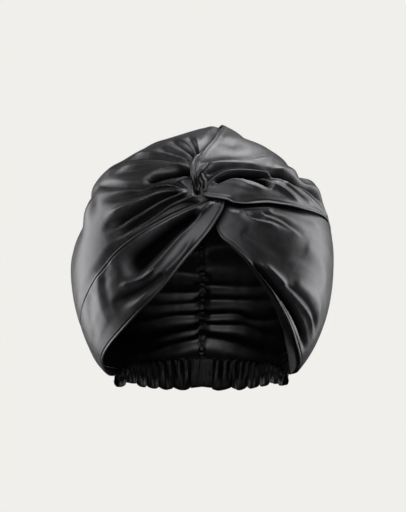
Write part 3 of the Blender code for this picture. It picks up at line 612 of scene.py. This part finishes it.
def sheetFrom(name, first, second, last, spec, heightOf):
    # the sheet between two lines: relief, its own height and hems, and fine streaks along it. Crowding draws
    # its rows together towards the foot
    rows, columns = spec["rows"], spec["columns"]
    share = np.linspace(0, 1, rows)
    u = share * (1 + spec.get("crowding", 0.0) * (1 - share))
    v, width = sharesAcross(first, second, u, columns)
    u = u[:, None] + np.zeros_like(v)
    ways = between(first, second, last, u, v)
    rise, shift, outer, inner = relief(ways)
    line = alongLine(first, u[:, 0]) * cloth["nominalRadius"]
    length = float(np.linalg.norm(np.diff(line, axis=0), axis=1).sum())
    fromEdge = {"first": v * width[:, None], "second": (1 - v) * width[:, None]}
    for size, reach, depth in streaks:
        across = fromEdge["first"] / size + streakOffset * len(name)
        rise += depth / 1000 * noise(across, u * length / reach + streakStart)
    extra = heightOf(ways, u, v)
    covered = smooth((-extra - shading["coverStart"]) / shading["coverDepth"])
    outer = np.maximum(outer, spec.get("coverShade", 1.0) * covered)
    if "startShade" in spec:
        outer = np.maximum(outer, 1 - smooth(u / spec["startShade"]))
    inner = np.maximum(inner, spec.get("innerShade", 0.0))
    for side in spec["hems"]:
        extra = extra + hem(fromEdge[side])
    points = layOn(ways, rise + extra, shift)
    piece = meshFrom(name + "_cloth", points, satinCloth, (float(width.max()), length), (outer, inner))
    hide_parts(name)


crownLeft = {"rows": 290, "columns": 150, "crowding": 0.2, "hems": (), "held": "stretched",
             "restsOn": ["band_left"], "cornerUnderlap": 0.012, "snugTuck": 0.3}


def crownLeftPiece():
    first = shifted(seam, -grown(cloth["underlap"]) * (1 - ramp(evenShares, "frontUnderlap")))
    corner = crownLeft["cornerUnderlap"] * ramp(evenShares, "corner")
    second = shifted(leftHem, grown(cloth["underlap"]) + corner)

    def height(ways, u, v):
        fromSeam, along, _ = beside(ways, seam)
        fromHem, down, _ = beside(ways, leftHem)
        seamSide, hemSide = np.where(v < 0.5, tuck(fromSeam), 0), np.where(v > 0.5, tuck(-fromHem), 0)
        snug = crownLeft["snugTuck"]
        hemShare = snug + (1 - snug) * (1 - ramp(down, "snug"))
        return -np.maximum((1 - ramp(along, "frontLap")) * seamSide, hemSide * hemShare)

    sheetFrom("crown_left", first, second, footOf(first, second), crownLeft, height)


crownRight = {"rows": 290, "columns": 150, "crowding": 0.2, "hems": ("first",), "held": "stretched",
              "restsOn": ["crown_left"]}


def crownRightPiece():
    second = shifted(crownHem, -grown(cloth["underlap"]))

    def height(ways, u, v):
        fromSeam, along, _ = beside(ways, seam)
        seamSide = np.where(v < 0.5, lift(-fromSeam), 0)
        hemSide = np.where(v > 0.5, tuck(beside(ways, crownHem)[0]), 0)
        return (1 - ramp(along, "frontLap")) * seamSide - hemSide

    sheetFrom("crown_right", seam, second, footOf(seam, second), crownRight, height)


bandLeft = {"rows": 210, "columns": 110, "hems": ("first", "second"), "held": "stretched",
            "restsOn": ["crown_left"], "startShade": 0.05}


def bandLeftPiece():
    def height(ways, u, v):
        covered = tuck(-beside(ways, lobeEdge)[0]) * (1 - ramp(u, "bandStart"))
        fromHem, down, _ = beside(ways, leftHem)
        return np.where(v < 0.5, lift(fromHem) * (1 - ramp(down, "snug")), 0) - covered

    sheetFrom("band_left", leftHem, leftEdge, footOf(leftHem, leftEdge), bandLeft, height)


# Where the two right bands lie on each other, the upper one is lifted and the lower one drawn in
bandRightUpper = {"rows": 150, "columns": 90, "hems": ("first", "second"), "held": "gathered",
                  "restsOn": ["crown_right"], "stackLift": 0.0015, "endDrop": 0.7}


def bandRightUpperPiece():
    def height(ways, u, v):
        fromArc, fromLobe = -beside(ways, arcHem)[0], beside(ways, lobeEdge)[0]
        raised = lift(np.minimum(fromArc, fromLobe)) * (1 - ramp(u, "lobeLift"))
        atEnd = 1 - bandRightUpper["endDrop"] * ramp(u, "lobeEnd")
        return raised + bandRightUpper["stackLift"] * ramp(u, "crest") * atEnd

    sheetFrom("band_right_upper", arcHem, lobeEdge, None, bandRightUpper, height)


bandRightLower = {"rows": 210, "columns": 110, "hems": ("second",), "held": "stretched",
                  "restsOn": ["crown_right"], "startShade": 0.035, "underlap": 0.012, "crestDivisor": 1.5,
                  "underSlice": slice(20, None, 8), "hemSlice": slice(12, None, 12), "stackTuck": 0.0004}


def bandRightLowerPiece():
    overlap = bandRightLower["underlap"] * (1 - ramp(evenShares, "crest") / bandRightLower["crestDivisor"])
    under = shifted(lobeEdge, overlap)
    knots = np.vstack((under[bandRightLower["underSlice"]], rightHem[bandRightLower["hemSlice"]]))
    first = unit(curveThrough(knots, linePoints))

    def height(ways, u, v):
        across, along, _ = beside(ways, lobeEdge)
        onCrest = ramp(along, "crest")
        tucked = np.where(v < 0.5, tuck(-across), 0) * (1 - onCrest)
        return -tucked - bandRightLower["stackTuck"] * onCrest * smooth(1 - u)

    sheetFrom("band_right_lower", first, rightEdge, footOf(first, rightEdge), bandRightLower, height)


facingRight = {"rows": 140, "columns": 32, "hems": (), "held": "folded", "restsOn": ["band_right_lower"],
               "coverShade": 0.5, "underlap": 0.0056}


def facingRightPiece():
    first = shifted(rightEdge, facingRight["underlap"])

    def height(ways, u, v):
        return -cloth["tuckDepth"] + 0 * u

    sheetFrom("facing_right", first, rightFacing, footOf(first, rightFacing), facingRight, height)


twistTuck = {"rows": 50, "columns": 32, "hems": (), "held": "gathered", "restsOn": ["band_left"],
             "tucksDeep": 2}


def twistTuckPiece():
    def height(ways, u, v):
        return -twistTuck["tucksDeep"] * cloth["tuckDepth"] + 0 * u

    sheetFrom("twist_tuck", lineOn(lines["tuckLeft"]), lineOn(lines["tuckRight"]), None, twistTuck, height)


backSeam = {"rows": 340, "columns": 30, "hems": (), "held": "gathered", "restsOn": ["crown_left"],
            "innerShade": 0.4, "halfWidth": 0.0035, "firstPoint": 44, "puckers": 44, "puckerDepth": 0.0006,
            "wander": 3, "wanderSteps": (30, 2), "drop": 0.0036}


def backSeamPiece():
    # a gathered strip over the seam, with small puckers along it
    side = backSeam["halfWidth"]
    left, right = (shifted(seam, offset)[backSeam["firstPoint"]:] for offset in (side, -side))
    along, across = backSeam["wanderSteps"]

    def height(ways, u, v):
        wander = backSeam["wander"] * noise(u * along, v * across)
        pucker = backSeam["puckerDepth"] * np.sin(2 * math.pi * backSeam["puckers"] * u + wander)
        return pucker * (1 - (2 * v - 1) ** 2) - backSeam["drop"]

    sheetFrom("back_seam", left, right, None, backSeam, height)


for make in (crownLeftPiece, crownRightPiece, bandLeftPiece, bandRightUpperPiece, bandRightLowerPiece,
             facingRightPiece, twistTuckPiece, backSeamPiece):
    make()
print("sheets laid")

# Nape casing: a gathered tube of cloth round an elastic, under the lower edge. Each profile pair is a share
# of the way to the corner and a share of the height
casing = {"height": 0.0275, "tuck": 0.0015, "inset": 0.0034, "endInset": 0.0004, "draw": 0.002,
          "wall": 0.0006, "tabHalfTurn": 7.7, "endOverlap": 0.6, "fullness": 0.0016, "scallop": 0.0034,
          "ripple": 0.0003, "cornerFrom": 62, "cornerRun": 16, "doubledAt": 58, "doubledWidth": 9,
          "columns": 520, "tabColumns": 60, "rows": 48, "lightShade": 0.1, "tabShade": 0.3,
          "squareness": 4, "rippleNoise": (0.9, 4, 6),
          "profile": ((0.0, 1.0), (0.15, 1.06), (0.34, 0.98), (0.56, 0.8), (0.75, 0.62), (1.0, 0.36))}
ribbing = {"count": 13, "depth": 0.0013, "power": 0.8, "wander": 0.03, "noise": (5, 3), "sway": 0.02,
           "swayNoise": (7, 1.5, 2), "gain": 1.4, "middle": 0.6, "fade": 0.7}
puffing = {"count": 6, "depth": 0.0030, "power": 0.6, "wander": 0.04, "noise": (4, 8), "sway": 0.3,
           "middle": 0.35, "scallopMiddle": 0.55, "leastSize": 0.75, "moreSize": 0.5, "sizeNoise": 12,
           "endFrom": 0.72, "endRun": 0.28}


def casingPiece(name, start, end, gathered, seed):
    # a flat tube: t runs down its outer face, round the bottom and up its inner face. Ribs and puffs are
    # |sin(pi * phase)|^power, round lobes with sharp valleys, ribs above and puffs below
    columns, rows = (casing["columns"] if gathered else casing["tabColumns"]), casing["rows"]
    v = np.linspace(0, 1, columns)[None, :] + np.zeros((rows, 1))
    t = np.linspace(0, 1, rows)[:, None] + np.zeros((1, columns))
    longitude = start + (end - start) * v
    turn = np.abs(longitude)
    ways = lowerEdge(longitude)
    rise, shift, _, _ = relief(ways[:1])
    nearCorner = smooth((turn - casing["cornerFrom"]) / casing["cornerRun"])
    doubled = np.exp(-((turn - casing["doubledAt"]) / casing["doubledWidth"]) ** 2) * (1 - nearCorner)
    inset = casing["inset"] + (casing["endInset"] - casing["inset"]) * nearCorner
    top = layOn(ways, rise - inset - cloth["tuckDepth"] * doubled, shift)
    top[..., 2] += casing["tuck"]
    outward = unit(np.stack((ways[..., 0], ways[..., 1], 0 * longitude), axis=-1))
    stations, shares = np.array(casing["profile"]).T
    height = casing["height"] * np.interp(turn / lowerEdgeAt["cornerLongitude"], stations, shares)
    depth = np.where(t < 0.5, t, 1 - t) * 2  # 0 at both top edges, 1 at the bottom
    face = np.where(t < 0.5, 1, -1)

    def noiseAlong(steps, row):
        return noise(v * steps + seed, 0 * v + row)

    along, down, first = ribbing["swayNoise"]
    sway = ribbing["sway"] * noise(v * along + seed, depth * down + first)
    ribPhase = v + sway + ribbing["wander"] * noiseAlong(*ribbing["noise"])
    ribs = np.abs(np.sin(math.pi * ribbing["count"] * ribPhase)) ** ribbing["power"]
    puffPhase = v + puffing["wander"] * noiseAlong(*puffing["noise"]) + puffing["sway"] * sway
    puffs = np.abs(np.sin(math.pi * puffing["count"] * puffPhase)) ** puffing["power"]
    uneven = np.abs(noiseAlong(puffing["count"], puffing["sizeNoise"]))
    size = (puffing["leastSize"] + puffing["moreSize"] * uneven) * (1.0 if gathered else 0.0)
    upper = ramp(depth, "ribStart") * (1 - ribbing["fade"] * ramp(depth, "ribFade"))
    towardsEnd = np.clip(depth - puffing["endFrom"], 0, 1) / puffing["endRun"]
    lower = ramp(depth, "puffStart") * domed(towardsEnd, casing["squareness"])
    body = casing["fullness"] * domed(2 * depth - 1, casing["squareness"])
    swell = face * (body + (ribs - ribbing["middle"]) * ribbing["depth"] * upper * size * ribbing["gain"]
                    + (puffs - puffing["middle"]) * puffing["depth"] * lower * size)
    along, down, apart = casing["rippleNoise"]
    ripple = noise(longitude * along + seed, depth * down + apart * face)
    swell += -casing["draw"] * depth + casing["ripple"] * ripple
    scallop = casing["scallop"] * (puffs - puffing["scallopMiddle"]) * size * ramp(depth, "scallop")
    points = top + outward * swell[..., None]
    points[..., 2] -= depth * (height + casing["tuck"]) + scallop
    length = float(np.linalg.norm(np.diff(points[rows // 2], axis=0), axis=1).sum())
    valleys = np.maximum((1 - ribs) * upper, (1 - puffs) * lower)
    light = casing["lightShade"]
    shade = light + (1 - light) * valleys if gathered else casing["tabShade"] + 0 * depth
    piece = meshFrom(name + "_cloth", points, shadedCasingCloth, (length, 2 * casing["height"]),
                     (shade, shade), casing["wall"])
    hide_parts(name)


corner, tab = lowerEdgeAt["cornerLongitude"], casing["tabHalfTurn"]
casingPiece("nape_band_left", -corner, -tab + casing["endOverlap"], True, 3)
casingPiece("nape_band_right", corner, tab - casing["endOverlap"], True, 17)
casingPiece("nape_tab", -tab, tab, False, 29)
print("casings gathered")

# The middle of the twist: a patch behind it
knot = {"reach": 8, "depth": 0.0057, "points": 48, "uvSize": (0.03, 0.03)}


def knotPiece():
    # a disc squeezed from a square: wide = x * sqrt(1 - y^2 / 2), high = y * sqrt(1 - x^2 / 2)
    stops = np.linspace(-1, 1, knot["points"])
    y, x = np.meshgrid(stops, stops, indexing="ij")
    wide, high = x * np.sqrt(1 - y * y / 2), y * np.sqrt(1 - x * x / 2)
    ways = wayOf(np.degrees(np.arctan2(high, wide)), np.hypot(wide, high) * knot["reach"])
    rise, shift, _, _ = relief(ways)
    points = layOn(ways, rise - knot["depth"], shift)
    # the patch is painted in full shade, dark as the hollow behind the twist
    shade = np.ones_like(rise)
    piece = meshFrom("twist_knot_cloth", points, satinCloth, knot["uvSize"], (shade, shade))
    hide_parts("twist_knot")


# Two rolled edges in the twist, each a line with the radii of its round section
loop = {"clearance": 0.0006, "wall": 0.0003, "flatWidth": 0.01, "uvSize": (0.011, 0.08), "sides": 29,
        "smoothing": 13, "bluntness": 24, "hookPoints": 180, "foldPoints": 90,
        "hook": ((89, 20), (95, 17.4), (105, 13.7), (115, 9.6), (126, 6.2), (139, 3.3), (145, 2.2),
                 (130, 2.4), (112, 4.3), (105, 6.8), (95, 8.2), (85, 10.3), (79, 12.9)),
        "hookRadius": (0.0007, 0.0014, 0.0016, 0.0015, 0.0010, 0.0014, 0.0017, 0.0008),
        "fold": ((97, 8.2), (92, 7.4), (82, 5.0), (71, 4.2), (20, 1.6), (300, 1.0)),
        "foldRadius": (0.0006, 0.0013, 0.0015, 0.0012, 0.0007)}


def rolledEdge(rows, sizes, count):
    # a round section carried along a line over the smoothed relief, closed to a point at both ends
    path = lineOn(rows, count=count)
    window = loop["smoothing"]
    rise = np.convolve(np.pad(relief(path)[0], window // 2, "edge"), np.ones(window) / window, "valid")
    share = np.linspace(0, 1, count)
    radius = np.interp(share, np.linspace(0, 1, len(sizes)), sizes)
    middle = layOn(path, rise + radius + loop["clearance"], 0)
    along = unit(np.gradient(middle, axis=0))
    side = unit(np.cross(path, along))
    up = np.cross(along, side)
    turn = np.linspace(0, 2 * math.pi, loop["sides"])
    ring = np.cos(turn)[None, :, None] * side[:, None, :] + np.sin(turn)[None, :, None] * up[:, None, :]
    close = domed(np.abs(2 * share - 1), loop["bluntness"])
    return middle[:, None, :] + ring * (radius * close)[:, None, None]


def loopPiece():
    hook = rolledEdge(loop["hook"], loop["hookRadius"], loop["hookPoints"])
    fold = rolledEdge(loop["fold"], loop["foldRadius"], loop["foldPoints"])
    points = np.vstack((hook, fold))
    shade = np.zeros(points.shape[:2])
    piece = meshFrom("twist_loop_cloth", points, satinCloth, loop["uvSize"], (shade, shade),
                     loop["wall"])
    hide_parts("twist_loop")


knotPiece()
loopPiece()
print("twist made")

# Studio: pale floor and backdrop that only the camera sees, soft boxes, dim world
studio = {"tone": (0.871, 0.863, 0.831), "shellRadius": 6, "shellGrid": (49, 25), "floorHeight": -0.42,
          "world": 0.10, "worldTone": (0.9, 0.92, 1.0, 1), "fieldHeight": 0.4608, "cameraDistance": 1.5,
          "cameraRise": 8.0, "sensor": 24, "photoHeight": 512, "shiftPixels": (1, 6)}


def glow(name, tone, strength):
    material = bpy.data.materials.new(name)
    material.use_nodes = True
    nodes, links = material.node_tree.nodes, material.node_tree.links
    nodes.remove(nodes["Principled BSDF"])
    emission = addNode(nodes, "Emission", Color=(*tone, 1), Strength=strength)
    links.new(emission.outputs["Emission"], nodes["Material Output"].inputs["Surface"])
    return material


def stagePiece(name, points, material):
    mesh = bpy.data.meshes.new(name)
    mesh.from_pydata(points.reshape(-1, 3), [], gridQuads(*points.shape[:2]))
    mesh.materials.append(material)
    piece = bpy.data.objects.new(name, mesh)
    bpy.context.scene.collection.objects.link(piece)
    piece.visible_diffuse = piece.visible_glossy = piece.visible_transmission = piece.visible_shadow = False


paper = glow("paper", studio["tone"], 1.0)
turns, rises = studio["shellGrid"]
turn, rise = np.meshgrid(np.linspace(0, 2 * math.pi, turns), np.linspace(-math.pi / 2, math.pi / 2, rises),
                         indexing="ij")
shell = np.stack((np.cos(rise) * np.cos(turn), np.cos(rise) * np.sin(turn), np.sin(rise)), axis=-1)
shell *= studio["shellRadius"]
shell[..., 2] = np.maximum(shell[..., 2], studio["floorHeight"])
stagePiece("studio_backdrop", shell, paper)

softBoxes = {  # place, width and height, power in watts
    "left": ((-1.25, 0.5, 0.0), (1.0, 1.7), 28),
    "right": ((1.25, 0.42, 0.1), (1.0, 1.7), 28),
    "top": ((0.5, 0.45, 1.35), (1.2, 1.0), 32),
    "front": ((-0.2, -1.55, 0.42), (1.3, 1.1), 15),
    "over the front": ((-0.35, -0.9, 1.35), (1.4, 1.0), 9),
}
for name, (place, size, power) in softBoxes.items():
    light = bpy.data.lights.new(name, "AREA")
    light.shape = "RECTANGLE"
    light.size, light.size_y = size
    light.energy = power
    lamp = bpy.data.objects.new(name + " soft box", light)
    bpy.context.scene.collection.objects.link(lamp)
    lamp.location = place
    back = unit(np.array(place, float))
    lamp.rotation_euler = (math.acos(back[2]), 0, math.atan2(back[1], back[0]) + math.pi / 2)

world = bpy.data.worlds.new("studio")
bpy.context.scene.world = world
world.use_nodes = True
sky = world.node_tree.nodes["Background"]
sky.inputs["Color"].default_value = studio["worldTone"]
sky.inputs["Strength"].default_value = studio["world"]

rise = math.radians(studio["cameraRise"])
back = np.array((0.0, -math.cos(rise), math.sin(rise)))
lens = bpy.data.cameras.new("camera")
lens.sensor_fit = "VERTICAL"
lens.sensor_height = studio["sensor"]
lens.lens = studio["sensor"] * studio["cameraDistance"] / studio["fieldHeight"]
lens.shift_x, lens.shift_y = (pixels / studio["photoHeight"] for pixels in studio["shiftPixels"])
camera = bpy.data.objects.new("camera", lens)
camera.location = back * studio["cameraDistance"]
camera.rotation_euler = (math.pi / 2 - rise, 0, 0)
bpy.context.scene.collection.objects.link(camera)
bpy.context.scene.camera = camera
bpy.context.scene.view_settings.view_transform = "Standard"
print("studio lit")
